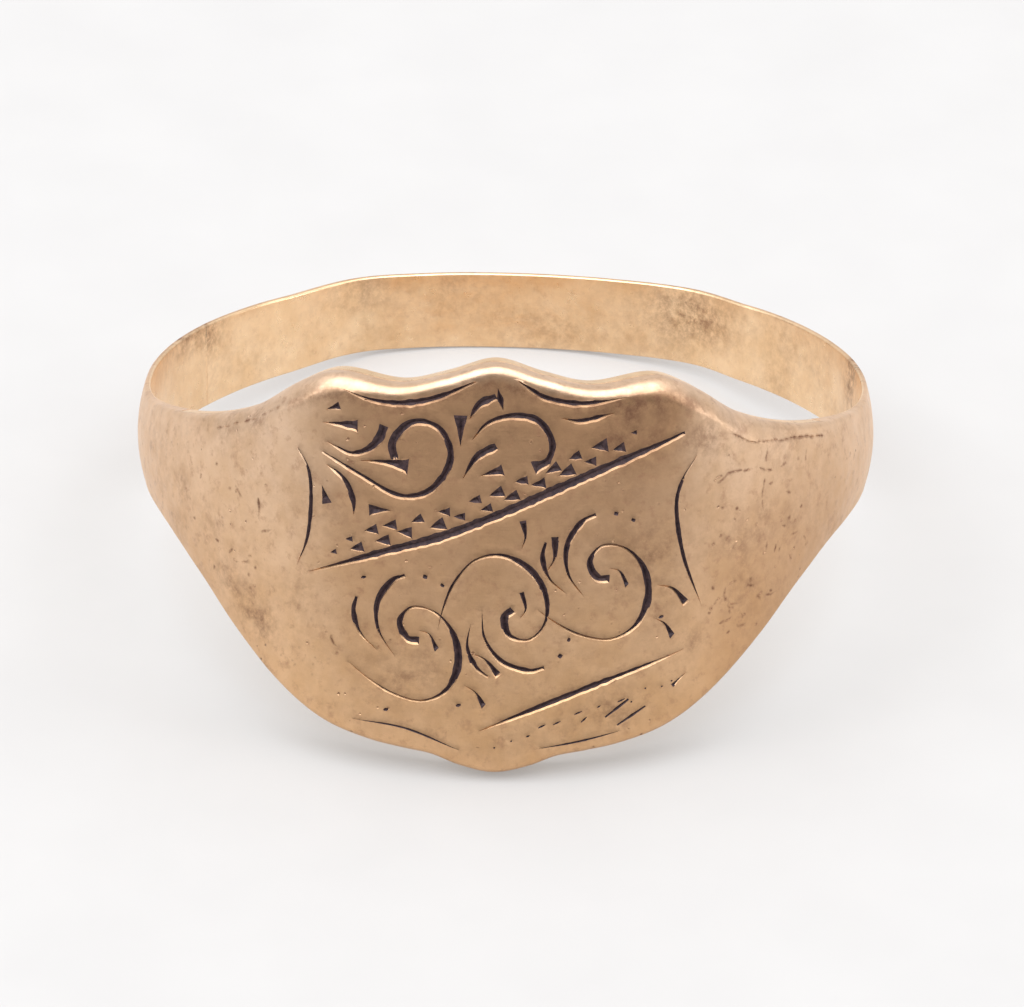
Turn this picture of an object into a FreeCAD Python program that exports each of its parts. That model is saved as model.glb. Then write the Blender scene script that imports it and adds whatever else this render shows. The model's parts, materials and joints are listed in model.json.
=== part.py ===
"""Signet ring with a die-struck, hollow-backed shield head, as it comes apart on a bench.

Ring coordinates: u to the wearer's right, v from head to back, w along the finger.
The angle phi runs round the finger from the middle of the head (0) towards +u.
The finished ring is tipped forward, so that it lies on the tip of its shield.
"""
import FreeCAD, Part
import math
import os

# ---- driving dimensions (millimetres and degrees) ----
BORE_R = 9.05            # finger hole, inside radius (18.1 mm across)
SHANK_HALF_WIDTH = 1.04  # half the width of the plain band at its back
SHANK_THICK = 0.33       # thickness of the plain band along its middle
LINER_THICK = 0.30       # lining plate against the finger
SOLDER_FILM = 0.05       # solder between the lining and the struck shell
SHELL_WALL = 0.35        # sheet thickness of the struck face over the hollow
RIM_LAND = 0.45          # turned-back rim left round the hollow
LINER_END = 58.0         # the lining reaches this far round, each way
POCKET_END = 37.0        # the hollow reaches this far round, each way
LEFT_JOINT = -118.0      # butt joint between shell and shank, left side
RIGHT_JOINT = 100.0      # butt joint between shell and shank, right side
JOINT_SOLDER = 0.5       # angle taken up by the solder in each butt joint
BACK_R = 9.09            # inside radius at the middle of the squared-off back
STATION_STEP = 4.0       # largest angle between lofted cross-sections
INNER_R = 8.4            # lofted blanks start inside the finger hole and are bored out

# Inside of the ring as (phi, radius): round at the sides, squared off and dented at the back
INSIDE = [(138, BORE_R), (149, 9.24), (163, 9.08), (180, BACK_R), (196, 9.30), (206, 9.44), (222, BORE_R)]
# Outline of the whole band, as (angle from the middle of the head, w): the same on both sides
UPPER_EDGE = [(0, 4.76), (7, 4.42), (14, 4.12), (24, 4.22), (30, 3.80), (38, 2.92),
              (48, 2.26), (62, 1.72), (80, 1.22), (100, 1.06), (180, SHANK_HALF_WIDTH)]
LOWER_EDGE = [(0, 5.72), (5, 5.55), (9, 5.30), (13, 5.20), (18, 5.06), (25, 4.69), (33, 3.92), (41, 3.00),
              (50, 2.04), (61, 1.38), (78, 1.18), (120, 1.18), (150, 1.05), (180, SHANK_HALF_WIDTH)]
# Radial thickness along the middle of the band, how far its outer face falls away to each side,
# and the rounding of its outer edges
THICKNESS = [(0, 0.95), (14, 1.00), (27, 1.14), (38, 1.00), (52, 0.74), (72, 0.46), (92, SHANK_THICK)]
CROWN = [(0, 0.03), (25, 0.05), (45, 0.12), (65, 0.16), (95, 0.16), (150, 0.11)]
EDGE_ROUND = [(0, 0.20), (30, 0.22), (55, 0.16), (80, 0.10)]


def smooth(table, x):
    """Value at x on a smooth curve through the table's points, level at both ends."""
    x = min(max(x, table[0][0]), table[-1][0])
    last = len(table) - 1
    slopes = [0.0]
    for before, after in zip(table, table[2:]):
        slopes.append((after[1] - before[1]) / (after[0] - before[0]))
    slopes.append(0.0)
    i = 0
    while i < last - 1 and x > table[i + 1][0]:
        i += 1
    (x0, y0), (x1, y1) = table[i], table[i + 1]
    span = x1 - x0
    t = (x - x0) / span
    rise = y0 * (2 * t**3 - 3 * t**2 + 1) + y1 * (3 * t**2 - 2 * t**3)
    return rise + span * (slopes[i] * (t**3 - 2 * t**2 + t) + slopes[i + 1] * (t**3 - t**2))


def at(phi, r, w):
    """Point at angle phi, radius r and height w along the finger."""
    a = math.radians(phi)
    return FreeCAD.Vector(r * math.sin(a), -r * math.cos(a), w)


def stations(start, end):
    """Evenly spaced angles from start to end."""
    count = math.ceil((end - start) / STATION_STEP)
    return [start + (end - start) * i / count for i in range(count + 1)]


def from_head(phi):
    """Angle between phi and the middle of the head, 0 to 180."""
    return abs((phi + 180) % 360 - 180)


def inside_radius(phi):
    """Radius of the ring's inside at phi."""
    return smooth(INSIDE, phi % 360)


def section(phi, r_out, low, high, rounding):
    """Cross-section of a blank: crowned outside, rounded at its outer edges, inside the finger hole."""
    r_side = r_out - smooth(CROWN, from_head(phi))
    bulge = rounding * (1 - math.sqrt(0.5))
    corners = [at(phi, INNER_R, high), at(phi, INNER_R, low), at(phi, r_side - rounding, low),
               at(phi, r_side - bulge, low + bulge), at(phi, r_side, low + rounding),
               at(phi, r_out, (low + high) / 2), at(phi, r_side, high - rounding),
               at(phi, r_side - bulge, high - bulge), at(phi, r_side - rounding, high)]
    edges = [Part.LineSegment(corners[0], corners[1]),
             Part.LineSegment(corners[1], corners[2]),
             Part.Arc(corners[2], corners[3], corners[4]),
             Part.Arc(corners[4], corners[5], corners[6]),
             Part.Arc(corners[6], corners[7], corners[8]),
             Part.LineSegment(corners[8], corners[0])]
    return Part.Wire([edge.toShape() for edge in edges])


def outer_section(phi):
    """Full cross-section of the head, shoulder or shank at phi."""
    away = from_head(phi)
    r_out = inside_radius(phi) + smooth(THICKNESS, away)
    return section(phi, r_out, -smooth(LOWER_EDGE, away), smooth(UPPER_EDGE, away), smooth(EDGE_ROUND, away))


def pocket_section(phi):
    """Cross-section of the hollow behind the face at phi."""
    away = from_head(phi)
    r_out = inside_radius(phi) + smooth(THICKNESS, away) - SHELL_WALL
    return section(phi, r_out, RIM_LAND - smooth(LOWER_EDGE, away), smooth(UPPER_EDGE, away) - RIM_LAND,
                   smooth(EDGE_ROUND, away) / 2)


def loft(section_at, start, end):
    """Solid through the cross-sections from start to end."""
    return Part.makeLoft([section_at(phi) for phi in stations(start, end)], True)


def sector(radius, start, end):
    """Pie-shaped solid of the given radius between two angles, taller than the ring."""
    height = 4 * UPPER_EDGE[0][1]
    axis = FreeCAD.Vector(0, 0, 1)
    pie = Part.makeCylinder(radius, height, FreeCAD.Vector(0, 0, -height / 2), axis, end - start)
    pie.rotate(FreeCAD.Vector(0, 0, 0), axis, start - 90)
    return pie


def band(start, end):
    """Solid length of the ring between two angles, bored for the finger."""
    return loft(outer_section, start, end).cut(sector(BORE_R, -180, 180))


def pocket():
    """Hollow behind the face."""
    return loft(pocket_section, -POCKET_END, POCKET_END)


def front_shell(blank):
    """Die-struck face and shoulders: the blank less the seat of the lining and the hollow."""
    seat = sector(BORE_R + LINER_THICK + SOLDER_FILM, -LINER_END, LINER_END)
    return blank.cut(seat).cut(pocket())


def liner(blank):
    """Curved plate that closes the back of the head against the finger."""
    gap = math.degrees(SOLDER_FILM / BORE_R)
    return blank.common(sector(BORE_R + LINER_THICK, gap - LINER_END, LINER_END - gap))


def liner_solder(blank, plate):
    """Solder that fills the seat between lining and shell, all round the hollow."""
    seat = sector(BORE_R + LINER_THICK + SOLDER_FILM, -LINER_END, LINER_END)
    return blank.common(seat).cut(plate).cut(pocket())


def joint_solder(start):
    """Slice of solder in a butt joint, with the section of the shank."""
    return band(start, start + JOINT_SOLDER)


def squared_back():
    """Prism that opens the round bore out to the squared-off inside of the back."""
    first, last = INSIDE[0][0], INSIDE[-1][0]
    line = [at(phi, inside_radius(phi), 0) for phi in stations(first, last)]
    curve = Part.BSplineCurve()
    curve.interpolate(line, InitialTangent=at(first + 90, 1, 0), FinalTangent=at(last + 90, 1, 0))
    chord = Part.LineSegment(line[-1], line[0])
    face = Part.Face(Part.Wire([curve.toShape(), chord.toShape()]))
    face.translate(FreeCAD.Vector(0, 0, -UPPER_EDGE[0][1]))
    return face.extrude(FreeCAD.Vector(0, 0, 2 * UPPER_EDGE[0][1]))


def back_shank():
    """Plain band that closes the ring."""
    return band(RIGHT_JOINT + JOINT_SOLDER, 360 + LEFT_JOINT - JOINT_SOLDER).cut(squared_back())


def tip_angle():
    """Tilt that rests the ring on its shield's tip and the lower edge of its back."""
    drop = LOWER_EDGE[0][1] - SHANK_HALF_WIDTH
    back_edge = BACK_R + SHANK_THICK - CROWN[-1][1] - EDGE_ROUND[-1][1]
    return math.degrees(math.atan2(drop, BORE_R + back_edge))


def main():
    blank = band(LEFT_JOINT, RIGHT_JOINT)
    plate = liner(blank)
    nodes = {
        "front_shell": front_shell(blank),
        "liner": plate,
        "liner_solder": liner_solder(blank, plate),
        "back_shank": back_shank(),
        "left_joint_solder": joint_solder(LEFT_JOINT - JOINT_SOLDER),
        "right_joint_solder": joint_solder(RIGHT_JOINT),
    }
    tilt = tip_angle()
    os.makedirs("parts", exist_ok=True)
    for name, shape in nodes.items():
        shape.rotate(FreeCAD.Vector(0, 0, 0), FreeCAD.Vector(1, 0, 0), -tilt)
        shape.exportStep(f"parts/{name}.step")
        box = shape.BoundBox
        print(f"{name}: {len(shape.Solids)} solid, {shape.Volume:.3f} mm3, valid {shape.isValid()},"
              f" z {box.ZMin:.2f} to {box.ZMax:.2f}, y {box.YMin:.2f} to {box.YMax:.2f}")
    print(f"tilt {tilt:.2f} degrees")


main()
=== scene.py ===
import json
import math
import random

import bpy
import numpy as np
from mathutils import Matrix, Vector, geometry, kdtree, noise


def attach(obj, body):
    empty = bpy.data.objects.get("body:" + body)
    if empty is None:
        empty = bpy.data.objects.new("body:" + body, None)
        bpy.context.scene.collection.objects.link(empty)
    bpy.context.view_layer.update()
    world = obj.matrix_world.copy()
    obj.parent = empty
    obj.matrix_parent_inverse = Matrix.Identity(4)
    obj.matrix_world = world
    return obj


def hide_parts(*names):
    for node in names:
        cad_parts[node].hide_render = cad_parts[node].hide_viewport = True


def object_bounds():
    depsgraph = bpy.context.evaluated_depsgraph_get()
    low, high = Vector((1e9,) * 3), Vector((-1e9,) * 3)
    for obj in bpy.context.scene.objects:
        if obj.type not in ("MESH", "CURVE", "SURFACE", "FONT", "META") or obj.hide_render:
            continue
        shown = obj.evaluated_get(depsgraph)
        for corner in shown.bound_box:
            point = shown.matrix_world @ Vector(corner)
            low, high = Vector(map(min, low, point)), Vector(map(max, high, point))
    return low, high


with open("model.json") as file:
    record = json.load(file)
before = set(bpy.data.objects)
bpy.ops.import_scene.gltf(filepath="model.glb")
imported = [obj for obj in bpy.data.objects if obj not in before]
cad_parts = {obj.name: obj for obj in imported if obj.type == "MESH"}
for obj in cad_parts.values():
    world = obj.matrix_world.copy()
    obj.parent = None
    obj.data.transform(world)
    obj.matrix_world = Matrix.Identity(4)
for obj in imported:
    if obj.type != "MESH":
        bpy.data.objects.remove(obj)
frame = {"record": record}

CAD_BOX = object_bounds()

# ---- sizes in millimetres and degrees, in the ring's own coordinates ----
# phi runs round the finger from the middle of the head, r out from the finger axis, w along it
MM = 0.001
BORE = next(m for m in frame["record"]["mounts"] if m["name"] == "finger_bore")
BORE_R = BORE["dims"]["r_mm"]
FINGER_AXIS = Vector(BORE["axis"]).normalized()
SIDE = Vector((1, 0, 0))
BACK = Vector((0, FINGER_AXIS.z, -FINGER_AXIS.y))
SHANK_HALF_WIDTH = 1.04
SHANK_THICK = 0.33
LINER_THICK = 0.30
SOLDER_FILM = 0.05
SHELL_WALL = 0.35
RIM_LAND = 0.45
LINER_END = 58.0
POCKET_END = 37.0
LEFT_JOINT = -118.0
RIGHT_JOINT = 100.0
JOINT_SOLDER = 0.5
FACE_R = 10.0            # radius on which the engraving is laid out flat
INSIDE = [(138, BORE_R), (149, 9.24), (163, 9.08), (180, 9.09), (196, 9.30), (206, 9.44), (222, BORE_R)]
UPPER_EDGE = [(0, 4.76), (7, 4.42), (14, 4.12), (24, 4.22), (30, 3.80), (38, 2.92),
              (48, 2.26), (62, 1.72), (80, 1.22), (100, 1.06), (180, SHANK_HALF_WIDTH)]
LOWER_EDGE = [(0, 5.72), (5, 5.55), (9, 5.30), (13, 5.20), (18, 5.06), (25, 4.69), (33, 3.92), (41, 3.00),
              (50, 2.04), (61, 1.38), (78, 1.18), (120, 1.18), (150, 1.05), (180, SHANK_HALF_WIDTH)]
THICKNESS = [(0, 0.95), (14, 1.00), (27, 1.14), (38, 1.00), (52, 0.74), (72, 0.46), (92, SHANK_THICK)]
CROWN = [(0, 0.03), (25, 0.05), (45, 0.12), (65, 0.16), (95, 0.16), (150, 0.11)]
EDGE_ROUND = [(0, 0.20), (30, 0.22), (55, 0.16), (80, 0.10)]
INNER_ROUND = 0.06       # worn inner edges of band and lining
LINED_ROUND = 0.015      # inner edge of the shell where the lining covers it
ARC_STEPS = 8            # segments in each rounded edge
FINE_STEP = 0.8          # largest angle between cross-sections
FINE_END = 60            # the shell's are this fine this far round, each way
COARSE_STEP = 2.0        # largest angle between the shell's beyond that
STEP_HALF = 0.05         # half the gap between the two sections at a step inside the shell
STEP_CLEAR = 0.15        # angle kept clear of other sections beside them
SHARP_ANGLE = 35.0       # an edge sharper than this is shaded as an edge
ROLL_WIDTH = 0.50        # the face rolls off over this width before its rounded edge
ROLL_DROP = 0.045        # and by this much
SWELL = 0.020            # broad unevenness of the sheet
RIPPLE = 0.006           # and its finer unevenness
BEAD = 0.003             # the solder stands this proud in the middle of a butt joint
FILM_DIRT = 0.35         # how dirty the solder film under the lining is
# Worn bevel along the upper edge of the shoulders: how wide it is, and how far it falls
BEVEL_WIDTH = [(16, .22), (23, .34), (30, .54), (60, .58)]
BEVEL_DROP = [(16, 0), (21, .14), (28, .33), (38, .26), (46, .13), (58, 0)]

# ---- engraving: cuts as (half-widths along the cut, points), in millimetres on the flat layout ----
GROOVE_SLOPE = 0.90      # depth of a cut for each millimetre in from its edge
GROOVE_MAX = 0.075       # deepest cut
CUT_STEP = 0.06          # spacing of the points along a cut
RAGGED = 0.22            # how much a cut's width wanders
BURR = 0.008             # raised lip along a cut's edge
HALO = 0.05              # width of that lip
BARE = 0.042             # bright strip left bare of tarnish on the lower wall of a long broad cut
BROAD = 0.045            # half-width from which a cut counts as broad
LONG = 0.3               # a cut up to this length has no bare strip
CUT_REACH = 0.35         # a cut changes nothing further off than this
CUT_DIRT = 0.40          # how dirty the face is right beside a cut
CUT_DIRT_FADE = 0.06     # distance over which that dirt fades
WORN_DIRT = 0.9          # how dirty a scratch is; the engraver's cuts are packed with tarnish instead
FACE_STEP = 0.14         # spacing of face points on the head
BAND_STEP = 0.30         # spacing of face points on the shoulders and band
HEAD_REACH = 7.5         # the head's spacing is kept this far out, each way
FACE_START = -20.6       # even face points lie between these
FACE_END = 17.5
WELD = 1e-7              # face points closer than this are one
SEED = 11
DIAGONAL = [(-4.66, -0.81), (-2.8, -0.10), (-1.3, 0.43), (0.15, 1.06), (1.6, 1.72), (3.05, 2.32),
            (4.65, 2.91)]

RIM_CUTS = [
    ((0, .07, .10, .08, .02),
     [(-3.75, 4.0), (-3.1, 3.80), (-2.5, 3.75), (-1.9, 3.82), (-1.3, 4.01), (-.45, 4.42)]),
    ((0, .08, .09, .07, 0), [(.45, 4.52), (.9, 4.20), (1.3, 3.98), (2.15, 3.83), (3.25, 3.95)]),
    ((0, .07, .08, 0), [(1.6, 3.5), (2.1, 3.4), (2.9, 3.57)]),
]
BORDER_CUTS = [
    ((.02, .045, .055, .04, 0), [(-4.92, 2.34), (-4.6, 1.81), (-4.54, 1.04), (-4.65, .07), (-4.94, -.69)]),
    ((.01, .05, .06, .04, 0), [(4.99, 2.31), (4.57, 1.66), (4.45, .96), (4.67, -.31), (5.17, -1.62)]),
    ((0, .10, .135, .13, .14, .13, .05), DIAGONAL),
    ((0, .07, .10, .09, .06, 0), [(-.37, -4.57), (1.15, -3.93), (2.85, -3.29), (4.74, -2.66)]),
    ((0, .025, .03, 0), [(-3.5, -4.48), (-2.15, -4.6), (-.8, -5.10)]),
    ((0, .025, .025, 0), [(1.1, -5.02), (2.2, -4.85), (3.15, -4.65)]),
    ((.02, .04, .03), [(2.75, -4.27), (3.32, -3.83)]),
    ((.02, .035, .02), [(3.05, -4.50), (3.75, -4.05)]),
    ((.05, .03, 0), [(4.42, -3.60), (4.78, -3.30)]),
]
# Broken lines of wear, as (points, half-width, steps left out between strokes)
WEAR_LINES = [
    ([(-7.86, 2.11), (-7.11, 2.38), (-6.51, 2.64), (-6.02, 2.94), (-5.5, 3.25)], .024, (0, 1, 3)),
    ([(6.05, 2.62), (6.45, 2.40), (6.89, 2.24), (7.72, 2.04), (8.67, 1.86), (9.34, 1.72), (9.8, 1.62)],
     .026, (0, 0, 1)),
    ([(5.61, 1.48), (5.98, 1.63), (6.7, 1.57)], .012, (0, 1)),
    ([(7.14, 1.23), (7.04, .81), (7.09, .41)], .010, (0, 1)),
    ([(-6.14, .78), (-6.11, .58), (-6.11, .36), (-6.12, .05)], .022, (0, 2)),
]
# Patches of brown dirt on head and shoulders, as (along, w, radius, strength); the broad one at (3.7, -.3)
# just makes the right of the face browner
STAINS = [
    (-7.3, -1.6, .45, .7), (-6.3, -2.3, .50, .8), (-5.9, -2.6, .30, .7), (-6.7, -1.9, .35, .5),
    (-9.3, .2, .35, .6), (-7.9, -.3, .40, .4), (-7.3, 2.2, .45, .6), (-6.2, 2.7, .40, .8),
    (-9.6, -1.0, .40, .4), (5.2, 2.75, .38, .9), (6.1, 2.6, .45, .5), (8.1, 1.9, .60, .5),
    (6.2, -.3, .60, .5), (6.4, -1.5, .50, .6), (4.9, -2.5, .35, .5), (7.2, .2, .60, .45),
    (8.2, -.1, .45, .4), (-2.4, -3.4, .60, .35), (3.0, -4.1, .60, .5), (3.4, 3.3, 1.10, .85),
    (.2, 3.6, .80, .25), (-4.2, .9, .40, .35), (1.6, .4, .50, .35), (-.2, -2.9, .50, .3),
    (3.9, .2, .50, .35), (-4.9, -1.4, .50, .4), (3.7, -.3, 1.2, .40), (-1.6, -3.0, .60, .35),
]
# The same on the inside of the band, as (phi, w, reach in degrees, strength)
BAND_STAINS = [(149, .3, 8.0, .9), (103, .6, 3.0, 1.0), (240, .8, 4.0, .5), (205, .6, 5.0, .35),
               (190, .7, 4.0, .3), (172, -.6, 7.0, .25), (128, -.4, 5.0, .25)]

SCROLL_CUTS = [
    ((0, .10), [(-4.15, 3.43), (-3.8, 3.57)]),
    ((0, .07, .16), [(-4.25, 3.10), (-3.35, 3.10)]),
    ((0, .05, .07, .09, .12, .11),
     [(-4.14, 2.64), (-3.85, 2.5), (-3.5, 2.39), (-3.1, 2.53), (-2.83, 2.82), (-2.7, 3.18)]),
    ((0, .05, .09, .20), [(-3.3, 2.24), (-2.65, 2.24), (-2.1, 2.18)]),
    ((.10, .11, .09, .08, .09, .09, .08, .07, .06, .03),
     [(-2.42, 2.32), (-2.49, 2.77), (-2.14, 3.23), (-1.73, 3.34), (-1.31, 3.16), (-1.07, 2.66),
      (-1.16, 2.15), (-1.53, 1.64), (-2.0, 1.43), (-2.5, 1.47), (-3.25, 1.85), (-4.25, 2.35)]),
    ((0, .06, .08, .07, 0), [(-4.15, 2.05), (-3.7, 1.73), (-3.46, 1.24), (-3.44, .81)]),
    ((0, .12), [(-4.25, 1.5), (-4.12, 1.04)]),
    ((.15, 0), [(-3.06, 1.0), (-2.49, 1.03)]),
    ((.17, .07, 0), [(-.83, 3.56), (-.83, 3.2), (-.83, 2.77)]),
    ((0, .08, .12, .08), [(-.62, 3.46), (-.38, 3.84), (.03, 4.05)]),
    ((0, .08, 0), [(.06, 4.27), (.12, 4.0), (.2, 3.70)]),
    ((0, .05, .08, .11, .10, .08, .07, .17),
     [(-.56, 2.94), (-.16, 3.38), (.44, 3.56), (1.04, 3.43), (1.38, 2.89), (1.26, 2.41), (.93, 2.25)]),
    ((0, .06, .12, .10), [(-.78, 1.94), (-.44, 2.5), (.04, 2.8)]),
    ((0, .15), [(-.36, 2.04), (.2, 2.20)]),
]

# One curl of the running scroll about its own centre, with its leaves and dots
SCROLL_MOTIF = [
    ((.11, .09, .04, .03, .05, .09, .10, .07, .04, .03, .04, .02, 0),
     [(-.12, .05), (-.34, .14), (-.36, .44), (-.02, .60), (.38, .42), (.58, .0), (.46, -.48), (.05, -.84),
      (-.50, -.90), (-1.02, -.66), (-1.38, -.34), (-1.66, .0)]),
    ((0, .03, .06, .09, .05), [(-.70, -.10), (-.84, .36), (-.68, .80), (-.26, 1.08), (.06, 1.12)]),
    ((0, .03, .07, .03), [(-1.00, .06), (-1.22, .40), (-1.20, .76), (-1.04, .98)]),
    ((0, .04, .10), [(.70, -.34), (.98, -.52), (1.14, -.86)]),
    ((0, .03, .08), [(.44, -.84), (.60, -1.02), (.66, -1.28)]),
    ((0, .03, .06), [(-.06, .22), (.12, .10), (.16, -.18)]),
    ((.04, .055, .04), [(.40, 1.04), (.47, 1.0)]),
    ((.03, .04, .03), [(.68, .84), (.73, .79)]),
]
SCROLL_MIDDLE = (0.62, -1.38)
SCROLL_SLOPE = 19.3      # the row rises at this angle
SCROLL_PITCH = 2.45
SCROLL_SIZE = 1.24
SCROLL_TALL = 1.27       # stretch of the curls across the row
SCROLL_OFFSET = 0.12     # each curl's distance off the row's middle
# Rows of pecks above the main diagonal, as (distance from its middle, number)
PECK_ROWS = [(0.30, 12), (0.58, 12)]
PECK_SIZE = 0.28
END_PECK_SIZE = 0.13     # near both ends of a row
DOTS = [(-2.65, -4.15), (-.85, -3.9), (4.1, -1.75), (-3.2, -.75), (1.5, .35)]
SPECKS = 13              # nicks of the worn hatch
# Scratched areas, as (from along, to along, from w, to w, number of scratches)
SCRATCHED = [(5.4, 9.2, -1.9, 1.7, 50), (-9.2, -5.5, -2.2, 1.2, 24), (5.3, 7.0, -2.6, -1.2, 16),
             (-4.6, 4.6, -4.4, 3.0, 14)]


def smooth(table, x):
    """Value at x on a smooth curve through the table's points, level at both ends."""
    x = min(max(x, table[0][0]), table[-1][0])
    last = len(table) - 1
    slopes = [0.0]
    for before, after in zip(table, table[2:]):
        slopes.append((after[1] - before[1]) / (after[0] - before[0]))
    slopes.append(0.0)
    i = 0
    while i < last - 1 and x > table[i + 1][0]:
        i += 1
    (x0, y0), (x1, y1) = table[i], table[i + 1]
    span = x1 - x0
    t = (x - x0) / span
    rise = y0 * (2 * t**3 - 3 * t**2 + 1) + y1 * (3 * t**2 - 2 * t**3)
    return rise + span * (slopes[i] * (t**3 - 2 * t**2 + t) + slopes[i + 1] * (t**3 - t**2))


def place(phi, r, w):
    """Scene position, in metres, of a point given in the ring's coordinates."""
    a = math.radians(phi)
    return (SIDE * r * math.sin(a) - BACK * r * math.cos(a) + FINGER_AXIS * w) * MM


def from_head(phi):
    """Angle between phi and the middle of the head, 0 to 180."""
    return abs((phi + 180) % 360 - 180)


def inside_radius(phi):
    """Radius of the ring's inside at phi."""
    return smooth(INSIDE, phi % 360)


def edge_heights(phi):
    """Lower and upper edge of the band at phi."""
    return -smooth(LOWER_EDGE, from_head(phi)), smooth(UPPER_EDGE, from_head(phi))


def outer_radius(phi, w):
    """Radius of the crowned outer face at phi and w."""
    away = from_head(phi)
    low, high = edge_heights(phi)
    half = (high - low) / 2 - smooth(EDGE_ROUND, away)
    across = min(1.0, abs(w - (low + high) / 2) / half)
    return inside_radius(phi) + smooth(THICKNESS, away) - smooth(CROWN, away) * across**2


def spread(start, end, step):
    """Evenly spaced values from start to end, at most step apart."""
    count = max(1, math.ceil((end - start) / step - 1e-9))
    return [start + (end - start) * i / count for i in range(count + 1)]


# ---- meshes ----
def dents(phi, w):
    """How far wear moves the face outwards: its bevel, its roll-off and the sheet's unevenness."""
    a = math.radians(phi) * FACE_R
    low, high = edge_heights(phi)
    gap = min(high - w, w - low)
    away = from_head(phi)
    bevel = smooth(BEVEL_DROP, away) * max(0.0, 1 - (high - w) / smooth(BEVEL_WIDTH, away))**1.2
    roll = ROLL_DROP * max(0.0, 1 - gap / ROLL_WIDTH)**2 * math.exp(-(away / 55)**4)
    broad = noise.noise(Vector((a * 0.35, w * 0.35, 7.0)))
    fine = noise.noise(Vector((a * 1.1, w * 1.1, 3.0)))
    return SWELL * broad + RIPPLE * fine - roll - bevel


def linked(name, data):
    """New object in the scene."""
    item = bpy.data.objects.new(name, data)
    bpy.context.collection.objects.link(item)
    return item


def mesh_object(name, points, faces, dirt_and_shade, materials, face_material=None, painted_shade=None):
    """Object from points in metres, with a value at each point for dirt and painted shade, and one for
    painted shade alone.
    """
    mesh = bpy.data.meshes.new(name)
    mesh.from_pydata([tuple(p) for p in points], [], faces)
    mesh.attributes.new("dirt_and_shade", "FLOAT", "POINT").data.foreach_set("value", dirt_and_shade)
    mesh.attributes.new("painted_shade", "FLOAT", "POINT").data.foreach_set("value", painted_shade or [0.0] * len(points))
    for material in materials:
        mesh.materials.append(material)
    mesh.polygons.foreach_set("use_smooth", [True] * len(mesh.polygons))
    if face_material is not None:
        mesh.polygons.foreach_set("material_index", face_material)
    mesh.validate()
    mesh.set_sharp_from_angle(angle=math.radians(SHARP_ANGLE))
    mesh.update()
    return linked(name, mesh)


def strip_faces(rows, cols, closed):
    """Faces between rows of points, each row a closed loop or an open strip, and the two end caps."""
    faces = []
    for i in range(rows - 1):
        for j in range(cols if closed else cols - 1):
            k = (j + 1) % cols
            faces.append((i * cols + j, i * cols + k, (i + 1) * cols + k, (i + 1) * cols + j))
    faces.append(tuple(range(cols))[::-1])
    faces.append(tuple((rows - 1) * cols + j for j in range(cols)))
    return faces


def swept(name, loops, dirt_and_shade, materials, columns=()):
    """Closed piece through a row of equal loops of (phi, r, w), capped at both ends.

    The faces of the given columns take the second material."""
    rows, cols = len(loops), len(loops[0])
    points = [place(*p) for loop in loops for p in loop]
    values = [dirt_and_shade(*p) for loop in loops for p in loop]
    second = [int(j in columns) for _ in range(rows - 1) for j in range(cols)] + [0, 0]
    return mesh_object(name, points, strip_faces(rows, cols, True), values, materials, second)


def edge_arc(phi, r, w, radius, start, end):
    """Points of a rounded edge about (r, w), from start to end degrees, 0 outwards and 90 upwards."""
    return [(phi, r + radius * math.cos(math.radians(t)), w + radius * math.sin(math.radians(t)))
            for t in (start + (end - start) * i / ARC_STEPS for i in range(ARC_STEPS + 1))]


def outer_edges(phi, grow=0.0):
    """The two rounded outer edges at phi, from the crowned face to the flat sides: upper, then lower."""
    away = from_head(phi)
    low, high = edge_heights(phi)
    rounding = smooth(EDGE_ROUND, away)
    crown = smooth(CROWN, away)
    lean = math.degrees(math.atan(4 * crown / (high - low)))
    r = inside_radius(phi) + smooth(THICKNESS, away) - crown - rounding + grow
    upper = edge_arc(phi, r, high - rounding + grow / 2, rounding, lean, 90)
    lower = edge_arc(phi, r, low + rounding - grow / 2, rounding, 270, 360 - lean)
    return worn_loop(upper), worn_loop(lower)


def inner_edge(phi, r, w, upper, rounding=INNER_ROUND):
    """Worn inner edge at radius r and height w, on the upper or the lower side."""
    if upper:
        return edge_arc(phi, r + rounding, w - rounding, rounding, 90, 180)
    return edge_arc(phi, r + rounding, w + rounding, rounding, 180, 270)


def band_loop(phi, grow=0.0):
    """Cross-section loop of the plain band, stood proud by grow."""
    upper, lower = outer_edges(phi, grow)
    low, high = edge_heights(phi)
    low, high = low - grow / 2, high + grow / 2
    r_in = inside_radius(phi) - grow / 2
    inside_face = [(phi, r_in, low + (high - low) * t) for t in (0.8, 0.65, 0.5, 0.35, 0.2)]
    outside_face = [(phi, outer_radius(phi, w) + grow, w)
                    for w in (low + (high - low) * t for t in (0.2, 0.35, 0.5, 0.65, 0.8))]
    inner = inner_edge(phi, r_in, high, True) + inside_face + inner_edge(phi, r_in, low, False)
    return upper + worn_loop(inner) + lower + worn_loop(outside_face)


def worn_loop(loop):
    """The loop with the sheet's unevenness added."""
    return [(phi, r + dents(phi, w), w) for phi, r, w in loop]


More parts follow.
